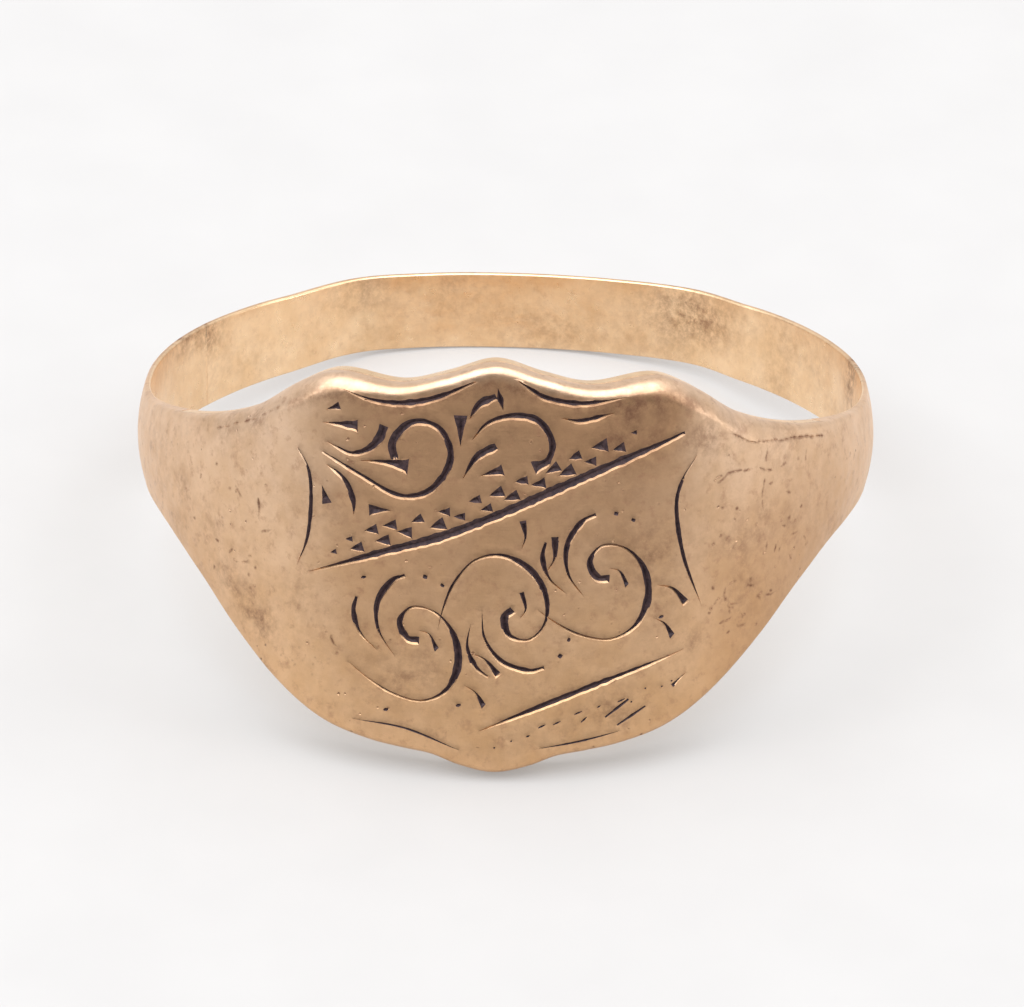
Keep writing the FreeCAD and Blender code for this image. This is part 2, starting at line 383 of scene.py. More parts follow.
# ---- engraved face ----
def curve_through(points, step):
    """Points about step apart on a smooth curve through the given points, with how far along each is."""
    if len(points) == 2:
        (x0, y0), (x1, y1) = points
        points = [(x0, y0), ((x0 + x1) / 2, (y0 + y1) / 2), (x1, y1)]
    p = [np.array(q, float) for q in points]
    p = [2 * p[0] - p[1]] + p + [2 * p[-1] - p[-2]]
    out = []
    for i in range(1, len(p) - 2):
        count = max(2, math.ceil(np.linalg.norm(p[i + 1] - p[i]) / step))
        for k in range(count):
            t = k / count
            out.append(0.5 * (2 * p[i] + (p[i + 1] - p[i - 1]) * t
                              + (2 * p[i - 1] - 5 * p[i] + 4 * p[i + 1] - p[i + 2]) * t**2
                              + (3 * p[i] - p[i - 1] - 3 * p[i + 1] + p[i + 2]) * t**3))
    out.append(p[-2])
    out = np.array(out)
    length = np.concatenate([[0], np.cumsum(np.linalg.norm(np.diff(out, axis=0), axis=1))])
    return out, length / length[-1]


def cut_outline(widths, points):
    """Outline of one cut and the line along its bottom."""
    line, along = curve_through(points, CUT_STEP)
    half = np.interp(along, np.linspace(0, 1, len(widths)), widths)
    half *= [1 + RAGGED * noise.noise(Vector((x * 6, y * 6, 2.0))) for x, y in line]
    tangent = np.gradient(line, axis=0)
    tangent /= np.linalg.norm(tangent, axis=1)[:, None]
    normal = np.stack([-tangent[:, 1], tangent[:, 0]], axis=1)
    left, right = line + normal * half[:, None], line - normal * half[:, None]
    start = [line[0]] if half[0] == 0 else [right[0], left[0]]
    end = [line[-1]] if half[-1] == 0 else [left[-1], right[-1]]
    outline = np.array(start + list(left[1:-1]) + end + list(right[-2:0:-1]))
    first = 1 if half[0] == 0 else 1 + int(half[0] / CUT_STEP)
    last = len(line) - 1 if half[-1] == 0 else len(line) - 1 - int(half[-1] / CUT_STEP)
    return outline, line[first:last]


def peck_cuts(rng):
    """Two staggered rows of small wedge pecks that follow the main diagonal."""
    line, along = curve_through(DIAGONAL, CUT_STEP)
    cuts = []
    for row, (offset, count) in enumerate(PECK_ROWS):
        for i in range(count):
            where = 0.09 + 0.82 * (i + 0.5 * row) / count + rng.uniform(-.008, .008)
            k = int(np.searchsorted(along, where))
            size = (PECK_SIZE if 0.14 < where < 0.88 else END_PECK_SIZE) * rng.uniform(.75, 1.15)
            base = line[k] + np.array((-0.18, 0.97)) * (offset + rng.uniform(-.04, .04))
            turn = math.radians(rng.uniform(0, 34))
            tip = base - size * 1.3 * np.array((math.cos(turn), math.sin(turn)))
            cuts.append(((0, size * .30, size * .52), [tuple(tip), tuple(base)]))
    return cuts


def turned(direction, degrees):
    """The direction turned anticlockwise."""
    a = math.radians(degrees)
    return np.array((direction[0] * math.cos(a) - direction[1] * math.sin(a),
                     direction[0] * math.sin(a) + direction[1] * math.cos(a)))


def running_scroll():
    """Row of curls between the two diagonals, turned alternately up and down, with leaves and dots."""
    along = turned((1, 0), SCROLL_SLOPE)
    across = turned(along, 90)
    cuts = []
    for i, hand in ((-1, 1), (0, -1), (1, 1)):
        centre = np.array(SCROLL_MIDDLE) + along * SCROLL_PITCH * i - across * hand * SCROLL_OFFSET
        rise = across * hand * SCROLL_TALL
        for widths, points in SCROLL_MOTIF:
            cuts.append((widths, [tuple(centre + SCROLL_SIZE * (along * x + rise * y)) for x, y in points]))
    return cuts


def worn_specks(rng):
    """Short rubbed-down nicks of a worn hatch in the lower band."""
    cuts = []
    for i in range(SPECKS):
        t = (i + rng.uniform(-.3, .3)) / (SPECKS - 1)
        x, y = 0.1 + 4.3 * t, -5.08 + 1.62 * t + rng.uniform(-.10, .26)
        length = rng.choice((.05, .09, .20))
        lean = math.radians(rng.uniform(20, 45))
        tip = (x + length * math.cos(lean), y + length * math.sin(lean))
        cuts.append(((.012, .024, .008), [(x, y), tip]))
    return cuts


def scratches(rng):
    """Short scratches and nicks of wear on the shoulders and the face."""
    cuts = []
    for a_low, a_high, w_low, w_high, count in SCRATCHED:
        for _ in range(count):
            x, y = rng.uniform(a_low, a_high), rng.uniform(w_low, w_high)
            low, high = edge_heights(math.degrees(x / FACE_R))
            length, lean = rng.choice((.05, .08, .12, .20)), math.radians(rng.uniform(-70, 80))
            width = rng.uniform(.006, .012) if length > .1 else rng.uniform(.012, .022)
            if low + 0.5 < y < high - 0.5:
                tip = (x + length * math.cos(lean), y + length * math.sin(lean))
                cuts.append(((0, width, width * .5), [(x, y), tip]))
    return cuts


def rough_seams(rng):
    """The pitted line where shoulders and rim meet, and a few longer scratches, as broken strokes."""
    cuts = []
    for line_points, width, gap in WEAR_LINES:
        line, _ = curve_through(line_points, CUT_STEP)
        k = 0
        while k < len(line) - 2:
            end = min(len(line) - 1, k + rng.randint(2, 6))
            swell = width * rng.uniform(.5, 1.3)
            drift = rng.uniform(-.03, .03)
            cuts.append(((0, swell, swell * .6, 0), [(x, y + drift) for x, y in line[k:end + 1]]))
            k = end + rng.choice(gap)
    return cuts


def engraved_cuts(rng):
    """Every cut of the engraver's, the worn hatch last."""
    cuts = RIM_CUTS + BORDER_CUTS + SCROLL_CUTS + peck_cuts(rng) + running_scroll()
    for x, y in DOTS:
        cuts.append(((.02, .045, .02), [(x - .06, y - .02), (x + .06, y + .02)]))
    return cuts + worn_specks(rng)


def inside(points, outline):
    """Which points lie inside the closed outline."""
    x, y = points[:, 0], points[:, 1]
    hit = np.zeros(len(points), bool)
    for (x0, y0), (x1, y1) in zip(outline, np.roll(outline, -1, axis=0)):
        if y0 != y1:
            crosses = (y0 > y) != (y1 > y)
            hit ^= crosses & (x < (x1 - x0) * (y - y0) / (y1 - y0) + x0)
    return hit


def distance_to(points, outline):
    """Distance from each point to the closed outline."""
    best = np.full(len(points), np.inf)
    for a, b in zip(outline, np.roll(outline, -1, axis=0)):
        span = b - a
        t = np.clip(((points - a) @ span) / max(span @ span, 1e-12), 0, 1)
        best = np.minimum(best, np.linalg.norm(points - a - t[:, None] * span, axis=1))
    return best


def groove_depth(points, outlines):
    """Depth of the engraving at each point, the height of its lip, and the dirt in a scratch or by a cut."""
    depth, lip, near = np.zeros((3, len(points)))
    for outline, _, worn in outlines:
        low, high = outline.min(axis=0) - CUT_REACH, outline.max(axis=0) + CUT_REACH
        pick = np.flatnonzero(np.all((points > low) & (points < high), axis=1))
        if not len(pick):
            continue
        distance, within = distance_to(points[pick], outline), inside(points[pick], outline)
        own_depth = np.where(within, np.minimum(distance * GROOVE_SLOPE, GROOVE_MAX), 0)
        depth[pick] = np.maximum(depth[pick], own_depth)
        if worn:
            near[pick] = np.maximum(near[pick], np.where(within | (distance < 1e-4), WORN_DIRT, 0))
        else:
            lip[pick] = np.maximum(lip[pick], BURR * np.clip(1 - distance / HALO, 0, 1))
            beside = np.where(within, 0, CUT_DIRT * np.exp(-distance / CUT_DIRT_FADE))
            near[pick] = np.maximum(near[pick], beside)
    return depth, np.where(depth > 1e-6, 0, lip), near


def face_points(outline_points, engraved, worn):
    """Points and edges for the outer face: its border, the cuts and wear, and an even filling."""
    points = [tuple(p) for p in outline_points]
    count = len(points)
    edges = [(i, (i + 1) % count) for i in range(count)]
    outlines = []
    for k, (widths, line_points) in enumerate(engraved + worn):
        outline, bottom = cut_outline(widths, line_points)
        bare = bare_width(widths, line_points)
        outlines.append((outline, bare, k >= len(engraved)))
        chains = [(outline, True), (bottom, False)]
        if bare:
            chains += [(run, False) for run in bare_edges(outline, bare)]
        for chain, closed in chains:
            first = len(points)
            points += [tuple(p) for p in chain]
            edges += [(first + i, first + i + 1) for i in range(len(chain) - 1)]
            if closed:
                edges.append((first + len(chain) - 1, first))
    for side in (-1, 1):
        first = len(points)
        points += bevel_crease(side)
        edges += [(i, i + 1) for i in range(first, len(points) - 1)]
    tree = kdtree.KDTree(len(points))
    for i, (a, w) in enumerate(points):
        tree.insert((a, w, 0), i)
    tree.balance()
    kept = np.array(kdtree_thin(halo_points(outlines) + grid_points(), tree))
    kept = kept[inside(kept, np.array(outline_points))]
    points += [tuple(p) for p in kept]
    return points, edges, outlines


def bevel_crease(side):
    """Line on one shoulder where the worn bevel starts."""
    angles = spread(BEVEL_DROP[0][0], BEVEL_DROP[-1][0], 0.6)
    return [(side * math.radians(phi) * FACE_R, edge_heights(phi)[1] - smooth(BEVEL_WIDTH, phi))
            for phi in angles]


def bare_width(widths, points):
    """Width of the bare strip on a cut's lower wall: none on a hairline or a short nick."""
    length = sum(math.dist(a, b) for a, b in zip(points, points[1:]))
    return BARE * min(1.0, length) if max(widths) >= BROAD and length > LONG else 0.0


def bare_edges(outline, bare):
    """Lines inside a broad cut where the bare strip on its lower wall ends."""
    raised = outline + np.array((0, bare))
    kept = inside(raised, outline) & (distance_to(raised, outline) > 0.4 * bare)
    runs, run = [], []
    for p, keep in zip(raised, kept):
        if keep:
            run.append(p)
        elif run:
            runs.append(run)
            run = []
    return [r for r in runs + [run] if len(r) > 1]


def halo_points(outlines):
    """Points just outside each cut, where its lip ends."""
    halo = []
    for outline, _, _ in outlines:
        ahead, behind = np.roll(outline, -1, axis=0), np.roll(outline, 1, axis=0)
        tangent = ahead - behind
        tangent /= np.maximum(np.linalg.norm(tangent, axis=1), 1e-9)[:, None]
        for side in (1, -1):
            moved = outline + side * HALO * np.stack([-tangent[:, 1], tangent[:, 0]], axis=1)
            halo += [(p, 0.55 * HALO) for p in moved[~inside(moved, outline)]]
    return halo


def grid_points():
    """Even filling of the face, finer on the head."""
    grid = []
    for step, low, high in ((FACE_STEP, -HEAD_REACH, HEAD_REACH), (BAND_STEP, FACE_START, -HEAD_REACH),
                            (BAND_STEP, HEAD_REACH, FACE_END)):
        for i, a in enumerate(np.arange(low, high, step * 0.87)):
            for w in np.arange(-5.6 + step * 0.5 * (i % 2), 5.2, step):
                grid.append((np.array((a, w)), 0.5 * step))
    return grid


def kdtree_thin(candidates, tree):
    """The candidates that keep their distance from the tree's points and from each other."""
    kept, cells = [], {}
    cell = FACE_STEP
    for p, gap in candidates:
        if tree.find((p[0], p[1], 0))[2] < gap:
            continue
        key = (int(p[0] // cell), int(p[1] // cell))
        around = [q for i in (-1, 0, 1) for j in (-1, 0, 1) for q in cells.get((key[0] + i, key[1] + j), ())]
        if all((p[0] - q[0])**2 + (p[1] - q[1])**2 >= gap * gap for q in around):
            cells.setdefault(key, []).append(p)
            kept.append(p)
    return kept


def shell_stations():
    """Angles of the shell's cross-sections, with a pair at each step in its inside."""
    even = spread(LEFT_JOINT, -FINE_END, COARSE_STEP)[:-1]
    even += spread(-FINE_END, FINE_END, FINE_STEP)
    even += spread(FINE_END, RIGHT_JOINT, COARSE_STEP)[1:]
    steps = [s * end + d for s in (-1, 1) for end in (LINER_END, POCKET_END)
             for d in (-STEP_HALF, STEP_HALF)]
    return sorted([e for e in even if all(abs(e - s) > STEP_CLEAR for s in steps)] + steps)


def shell_strip(phi):
    """Cross-section of the shell from the face's upper border, round its back, to the lower border."""
    upper, lower = outer_edges(phi)
    low, high = edge_heights(phi)
    lined, hollow = abs(phi) < LINER_END, abs(phi) < POCKET_END
    r_in = BORE_R + LINER_THICK + SOLDER_FILM if lined else BORE_R
    pocket = BORE_R + smooth(THICKNESS, abs(phi)) - SHELL_WALL if hollow else r_in
    top, bottom = (high - RIM_LAND, low + RIM_LAND) if hollow else (high * 0.6, low * 0.6)
    rounding = LINED_ROUND if lined else INNER_ROUND
    back = inner_edge(phi, r_in, high, True, rounding) + [(phi, r_in, top), (phi, pocket, top - INNER_ROUND)]
    span = top - bottom - 2 * INNER_ROUND
    back += [(phi, pocket, bottom + INNER_ROUND + span * t) for t in (.75, .5, .25)]
    back += [(phi, pocket, bottom + INNER_ROUND), (phi, r_in, bottom)]
    back += inner_edge(phi, r_in, low, False, rounding)
    return upper + (back if lined else worn_loop(back)) + lower


def rim_shade_and_dirt(phi, w):
    """Painted shade in a dark band just under the head's rim, and dirt in patches on the shoulders and
    beside the joints.
    """
    a = math.radians(phi) * FACE_R
    low, high = edge_heights(phi)
    gap = min(high - w, w - low)
    # Painted shade: a dark band under the rim's highlight, standing in for a dark reflection
    rim_shade = 0.60 * math.exp(-((gap - 0.42) / 0.16)**2) if abs(phi) < 30 and w > 0 else 0.0
    cloud = 0.5 + 0.5 * noise.noise(Vector((a * 0.6, w * 0.6, 1.0)))
    rough = 0.6 + 0.8 * noise.noise(Vector((a * 2.3, w * 2.3, 5.0)))
    darkening = sum(s * math.exp(-((a - x)**2 + (w - y)**2) / r**2) for x, y, r, s in STAINS)
    return min(1.0, max(0.0, rim_shade + 0.25 * cloud + max(0.0, rough) * darkening + joint_dirt(phi, w)))


def joint_dirt(phi, w):
    """Dark solder stain beside each joint, heaviest at the upper edge."""
    near = max(math.exp(-((phi % 360 - joint % 360) / 2.4)**2) for joint in (LEFT_JOINT, RIGHT_JOINT))
    low, high = edge_heights(phi)
    rough = 0.85 + 0.9 * noise.noise(Vector((phi * 0.35, w * 3.0, 6.0)))
    upward = min(1.0, max(0.0, (w - low) / (high - low) - 0.62) / 0.25)
    tail = 1.1 * math.exp(-((phi % 360 - LEFT_JOINT % 360 - 6) / 7.0)**2 - ((high - w - 0.15) / 0.28)**2)
    return rough * max(near * (0.04 + 0.96 * upward), tail)


def painted_face_shade(phi, w):
    """Painted shade: how much darker the gold is painted over the upper face, low on the shoulders and at
    the head's right corner, standing in for their darker reflections; none on the rim.
    """
    a = math.radians(phi) * FACE_R
    high = edge_heights(phi)[1]
    across = 1 / (1 + math.exp(max((-a - 4.1) / 0.45, (a - 4.8) / 0.28)))
    upward = 1 / (1 + math.exp(-(w + 0.6 - 0.25 * a) / 1.3))
    strength, reach = (0.72, 0.9) if a > 0 else (0.20, -0.2)
    shoulder = strength / (1 + math.exp((w - reach) / 0.8)) / (1 + math.exp((5.2 - abs(a)) / 0.4))
    shoulder /= 1 + math.exp(abs(a) - 11)
    corner = 0.55 * math.exp(-((a - 3.3) / 1.3)**2 - ((w - 3.6) / 0.9)**2)
    off_rim = min(1.0, max(0.0, (high - w - 0.10) / 0.25))
    return (across * (0.30 + 0.70 * upward) + shoulder + corner) * off_rim


def front_shell(gold, patina_gold, inside_gold):
    """Struck head and shoulders with the engraving cut into the face."""
    stations = shell_stations()
    strips = [shell_strip(phi) for phi in stations]
    rows, cols = len(strips), len(strips[0])
    inner = ARC_STEPS + 1
    points = [place(*p) for strip in strips for p in strip]
    # Per point: dirt together with the painted shade band under the rim, and the painted shade over the face
    # and lower shoulders
    dirt_and_shade = [rim_shade_and_dirt(p[0], p[2]) for strip in strips for p in strip]
    painted_shade = [painted_face_shade(p[0], p[2]) for strip in strips for p in strip]
    faces = strip_faces(rows, cols, False)

    flat = [(math.radians(phi) * FACE_R, strip[0][2]) for phi, strip in zip(stations, strips)]
    flat += [(math.radians(phi) * FACE_R, strip[-1][2]) for phi, strip in zip(stations[::-1], strips[::-1])]
    border_ids = [i * cols for i in range(rows)] + [i * cols + cols - 1 for i in reversed(range(rows))]
    rng = random.Random(SEED)
    engraved = engraved_cuts(rng)
    sheet, edges, outlines = face_points(flat, engraved, scratches(rng) + rough_seams(rng))
    verts, _, tris, origin, _, _ = geometry.delaunay_2d_cdt(
        [Vector(p) for p in sheet], edges, [], 1, WELD, True)
    layout = np.array([tuple(v) for v in verts])
    depth, lip, near = groove_depth(layout, outlines)
    index = []
    for k, (a, w) in enumerate(layout):
        shared = [o for o in origin[k] if o < len(flat)]
        if shared:
            index.append(border_ids[shared[0]])
            continue
        phi = math.degrees(a / FACE_R)
        index.append(len(points))
        points.append(place(phi, outer_radius(phi, w) + dents(phi, w) - depth[k] + lip[k], w))
        dirt_and_shade.append(max(rim_shade_and_dirt(phi, w), near[k]))
        painted_shade.append(painted_face_shade(phi, w))
    centres = np.array([layout[list(t)].mean(axis=0) for t in tris])
    kept = inside(centres, np.array(flat))
    tris = [t for t, keep in zip(tris, kept) if keep]
    centres = centres[kept]
    cut = np.zeros(len(tris), bool)
    for outline, bare, worn in outlines:
        if not worn:
            cut |= inside(centres, outline) & inside(centres - np.array((0, bare)), outline)
    materials = [2 * (inner <= j < cols - inner) for _ in range(rows - 1) for j in range(cols - 1)]
    materials += [0, 0] + [int(c) for c in cut]
    faces += [tuple(index[v] for v in t) for t in tris]
    return mesh_object("front_shell_struck", points, faces, dirt_and_shade, [gold, patina_gold, inside_gold],
                       materials, painted_shade)


def band_patina(phi, r, w):
    """Light dirt along the band, heavier beside the joints and in a few patches."""
    cloud = 0.15 + 0.2 * noise.noise(Vector((phi * 0.08, w * 0.9, 4.0)))
    patch = sum(s * math.exp(-((phi % 360 - at) / reach)**2 - ((w - height) / 0.8)**2)
                for at, height, reach, s in BAND_STAINS)
    return min(1.0, max(0.0, cloud + patch + joint_dirt(phi, w)))


def liner(gold):
    """Lining plate against the finger."""
    gap = math.degrees(SOLDER_FILM / BORE_R)
    r_out = BORE_R + LINER_THICK
    loops = []
    for phi in spread(gap - LINER_END, LINER_END - gap, FINE_STEP):
        low, high = edge_heights(phi)
        back_face = [(phi, BORE_R, low + (high - low) * t) for t in (0.9, 0.75, 0.6, 0.4, 0.25, 0.1)]
        loops.append([(phi, r_out, high)] + inner_edge(phi, BORE_R, high, True) + back_face
                     + inner_edge(phi, BORE_R, low, False) + [(phi, r_out, low)])
    return swept("liner_plate", loops, band_patina, [gold])


def back_shank(gold, inside_gold):
    """Plain band that closes the ring."""
    phis = spread(RIGHT_JOINT + JOINT_SOLDER, 360 + LEFT_JOINT - JOINT_SOLDER, FINE_STEP)
    loops = [band_loop(phi) for phi in phis]
    inner = range(ARC_STEPS + 1, 3 * ARC_STEPS + 7)
    return swept("back_shank_band", loops, band_patina, [gold, inside_gold], inner)


def joint_solder(name, start, solder):
    """Slice of solder in a butt joint, standing a little proud."""
    loops = [band_loop(phi, BEAD * math.sin(math.pi * (phi - start) / JOINT_SOLDER))
             for phi in spread(start, start + JOINT_SOLDER, JOINT_SOLDER / 6)]
    return swept(name, loops, lambda phi, r, w: joint_dirt(phi, w), [solder])


def liner_solder(solder):
    """Film of solder between lining and shell, open over the hollow."""
    low_r, high_r = BORE_R + LINER_THICK, BORE_R + LINER_THICK + SOLDER_FILM
    phis = sorted(spread(-LINER_END, LINER_END, 1.0) + [-POCKET_END, POCKET_END])
    rows = []
    for phi in phis:
        low, high = edge_heights(phi)
        seat = RIM_LAND if abs(phi) <= POCKET_END else 0.3 * (high - low)
        rows.append([high, high - seat, (high + low) / 2, low + seat, low])
    cols = len(rows[0])
    points = [place(phi, r, w) for r in (low_r, high_r) for phi, row in zip(phis, rows) for w in row]
    layer = len(phis) * cols
    kept = {(i, j) for i in range(len(phis) - 1) for j in range(cols - 1)
            if abs(phis[i] + phis[i + 1]) / 2 > POCKET_END or j in (0, cols - 2)}
    faces = []
    for i, j in kept:
        corners = [i * cols + j, i * cols + j + 1, (i + 1) * cols + j + 1, (i + 1) * cols + j]
        faces += [tuple(corners[::-1]), tuple(c + layer for c in corners)]
        for (di, dj), a, b in (((0, -1), 0, 3), ((1, 0), 3, 2), ((0, 1), 2, 1), ((-1, 0), 1, 0)):
            if (i + di, j + dj) not in kept:
                faces.append((corners[a], corners[b], corners[b] + layer, corners[a] + layer))
    used = sorted({v for f in faces for v in f})
    renumber = {v: k for k, v in enumerate(used)}
    faces = [tuple(renumber[v] for v in f) for f in faces]
    points = [points[v] for v in used]
    return mesh_object("liner_solder_film", points, faces, [FILM_DIRT] * len(used), [solder])


# ---- materials ----
def node_material(name):
    """New material, with its node tree and its shader."""
    material = bpy.data.materials.new(name)
    material.use_nodes = True
    tree = material.node_tree
    tree.nodes.clear()
    output = tree.nodes.new("ShaderNodeOutputMaterial")
    shader = tree.nodes.new("ShaderNodeBsdfPrincipled")
    tree.links.new(shader.outputs[0], output.inputs[0])
    return material, tree, shader


def feed(tree, item, inputs):
    """Set the node's inputs to values, or link them to sockets."""
    for key, value in inputs.items():
        if isinstance(value, bpy.types.NodeSocket):
            tree.links.new(value, item.inputs[key])
        else:
            item.inputs[key].default_value = value


def add(tree, kind, inputs=None, **settings):
    """New node with its settings and inputs."""
    item = tree.nodes.new(kind)
    for key, value in settings.items():
        setattr(item, key, value)
    feed(tree, item, inputs or {})
    return item


def ramp(tree, factor, *stops):
    """Colour ramp with the given (position, colour) stops."""
    item = add(tree, "ShaderNodeValToRGB", {"Fac": factor})
    elements = item.color_ramp.elements
    while len(elements) < len(stops):
        elements.new(0.5)
    for element, (position, colour) in zip(elements, stops):
        element.position = position
        element.color = colour
    return item.outputs["Color"]


def grey(value):
    """Opaque grey."""
    return (value, value, value, 1)


def in_millimetres(tree, stretch=(1, 1, 1)):
    """Place on the object in millimetres, times the given factor along each axis."""
    where = add(tree, "ShaderNodeTexCoord").outputs["Object"]
    return add(tree, "ShaderNodeMapping", {"Vector": where, "Scale": [s / MM for s in stretch]}).outputs[0]


def mapped_noise(tree, scale, detail, rough, stretch=(1, 1, 1)):
    """Noise over the object in millimetres."""
    where = in_millimetres(tree, stretch)
    return add(tree, "ShaderNodeTexNoise", {"Vector": where, "Scale": scale, "Detail": detail,
                                            "Roughness": rough}).outputs["Fac"]


def stored(tree, name):
    """Value stored at the mesh's points under the given name."""
    return add(tree, "ShaderNodeAttribute", attribute_name=name).outputs["Fac"]


def remap(tree, value, low, high, to_low=0.0, to_high=1.0):
    """The value, moved from the range low to high into the range to_low to to_high."""
    return add(tree, "ShaderNodeMapRange", {"Value": value, "From Min": low, "From Max": high,
                                            "To Min": to_low, "To Max": to_high}).outputs[0]


def bumped(tree, height, strength, depth, under=None, **settings):
    """Normal of a surface with bumps of the given depth in millimetres, on top of another normal."""
    inputs = {"Height": height, "Strength": strength, "Distance": depth * MM}
    if under is not None:
        inputs["Normal"] = under
    return add(tree, "ShaderNodeBump", inputs, **settings).outputs[0]


def blend(tree, factor, a, b):
    """Colour a turned into b by the factor."""
    return add(tree, "ShaderNodeMix", {"Factor": factor, "A": a, "B": b}, data_type="RGBA").outputs["Result"]


def times(tree, a, b):
    """Product of two values, kept between 0 and 1."""
    return add(tree, "ShaderNodeMath", {0: a, 1: b}, operation="MULTIPLY", use_clamp=True).outputs[0]


def warmth(tree, base, change):
    """The base colour, warmer low on the ring and paler at its top by the given change."""
    where = add(tree, "ShaderNodeTexCoord").outputs["Object"]
    height = add(tree, "ShaderNodeSeparateXYZ", {0: where}).outputs["Z"]
    low = remap(tree, height, 4.5 * MM, -1.5 * MM)
    paler = (1.0, 1.0 + 0.15 * change, 1.0 + 0.6 * change, 1)
    warmer = (1.0 + 0.35 * change, 1.0 - 0.2 * change, 1.0 - 1.2 * change, 1)
    tint = ramp(tree, low, (0.0, paler), (1.0, warmer))
    mixed = add(tree, "ShaderNodeMix", {"Factor": 1.0, "A": base, "B": tint},
                data_type="RGBA", blend_type="MULTIPLY")
    return mixed.outputs["Result"]


def gold_material(name, light, deep, painted_shade_colour, dirt_and_shade_colour, roughness, dirt_and_shade_amount, pitting, change):
    """Worn rose gold: mottled, darker where painted shade is stored, brown where dirty and in the painted
    shade band under the rim, with fine scratches and pits.
    """
    material, tree, shader = node_material(name)
    dirt_and_shade = stored(tree, "dirt_and_shade")
    painted_shade = stored(tree, "painted_shade")
    base = ramp(tree, mapped_noise(tree, 0.9, 5.0, 0.6), (0.36, deep), (0.62, light))
    # Painted shade: the stored shade value turns the colour towards the painted shade colour
    base = warmth(tree, blend(tree, painted_shade, base, painted_shade_colour), change)
    speckle = mapped_noise(tree, 3.2, 6.0, 0.7)
    freckle = ramp(tree, speckle, (0.54, grey(0.0)), (0.74, grey(0.2 + 0.5 * pitting)))
    base = blend(tree, freckle, base, (dirt_and_shade_colour[0] * 1.7, dirt_and_shade_colour[1] * 1.7, dirt_and_shade_colour[2] * 1.7, 1))
    pits = pit_mask(tree)
    mottle = ramp(tree, mapped_noise(tree, 3.4, 7.0, 0.72), (0.38, grey(0.10)), (0.62, grey(1.0)))
    # Dirt, and the painted shade band under the head's rim, turn the colour brown and duller
    darkening = times(tree, times(tree, dirt_and_shade, mottle), dirt_and_shade_amount)
    base = blend(tree, darkening, base, dirt_and_shade_colour)
    base = blend(tree, times(tree, pits, pitting), base, dirt_and_shade_colour)
    rub = mapped_noise(tree, 3.0, 6.0, 0.7)
    gloss = remap(tree, rub, 0.3, 0.7, roughness - 0.07, roughness + 0.09)
    dull = add(tree, "ShaderNodeMath", {0: darkening, 1: 0.25, 2: gloss},
               operation="MULTIPLY_ADD", use_clamp=True)
    feed(tree, shader, {"Base Color": base, "Metallic": 1.0, "Roughness": dull.outputs[0],
                        "Normal": surface_bump(tree, pits, pitting)})
    return material


def pit_mask(tree):
    """Scattered small pits and nicks, gathered in patches."""
    where = in_millimetres(tree)
    warped = add(tree, "ShaderNodeTexNoise", {"Vector": where, "Scale": 5.0, "Detail": 3.0})
    bent = add(tree, "ShaderNodeMix", {"Factor": 0.12, "A": where, "B": warped.outputs["Color"]},
               data_type="VECTOR")
    cells = add(tree, "ShaderNodeTexVoronoi", {"Vector": bent.outputs["Result"], "Scale": 3.4,
                                               "Randomness": 1.0})
    dots = remap(tree, cells.outputs["Distance"], 0.13, 0.05)
    return times(tree, dots, remap(tree, mapped_noise(tree, 0.55, 2.0, 0.5), 0.52, 0.66))


def surface_bump(tree, pits, pitting):
    """Normal from a fine scratch grain, soft wear and the pits."""
    scratch = mapped_noise(tree, 3.0, 6.0, 0.7, (0.5, 0.5, 7.0))
    crossing = mapped_noise(tree, 3.0, 6.0, 0.7, (6.0, 0.6, 0.8))
    wear = mapped_noise(tree, 1.6, 3.0, 0.5)
    grain = add(tree, "ShaderNodeMath", {0: scratch, 1: crossing}, operation="ADD").outputs[0]
    fine = bumped(tree, grain, 0.35, 0.006)
    soft = bumped(tree, wear, 0.6, 0.03, fine)
    return bumped(tree, pits, pitting, 0.03, soft, invert=True)


def patina_material():
    """Black-brown tarnish packed into the cuts."""
    material, tree, shader = node_material("engraving_patina")
    mottle = mapped_noise(tree, 9.0, 4.0, 0.6)
    colour = ramp(tree, mottle, (0.35, (0.028, 0.015, 0.020, 1)), (0.75, (0.095, 0.052, 0.050, 1)))
    feed(tree, shader, {"Base Color": colour, "Metallic": 0.35, "Roughness": 0.55,
                        "Normal": bumped(tree, mapped_noise(tree, 14.0, 4.0, 0.6), 0.5, 0.01)})
    return material


def solder_material():
    """Dull, pitted solder: near the gold's colour, blackened where dirt has gathered."""
    material, tree, shader = node_material("old_solder")
    dirt_and_shade = stored(tree, "dirt_and_shade")
    mottle = mapped_noise(tree, 6.0, 5.0, 0.65)
    base = ramp(tree, mottle, (0.38, (0.86, 0.59, 0.35, 1)), (0.62, (0.97, 0.69, 0.42, 1)))
    spots = ramp(tree, mottle, (0.40, grey(1.0)), (0.60, grey(0.35)))
    colour = blend(tree, times(tree, dirt_and_shade, spots), base, (0.14, 0.075, 0.05, 1))
    rough = ramp(tree, mottle, (0.3, grey(0.42)), (0.7, grey(0.32)))
    feed(tree, shader, {"Base Color": colour, "Metallic": 0.95, "Roughness": rough,
                        "Normal": bumped(tree, mottle, 0.4, 0.01)})
    return material


def floor_material():
    """Matt white sheet with a faint tooth, lit a little from below."""
    material, tree, shader = node_material("white_card")
    tooth = mapped_noise(tree, 0.3, 3.0, 0.5)
    colour = ramp(tree, tooth, (0.3, (0.320, 0.308, 0.293, 1)), (0.7, (0.334, 0.322, 0.306, 1)))
    feed(tree, shader, {"Base Color": colour, "Roughness": 0.9, "Emission Color": grey(1.0),
                        "Emission Strength": 0.28, "Normal": bumped(tree, tooth, 0.05, 0.05)})
    return material


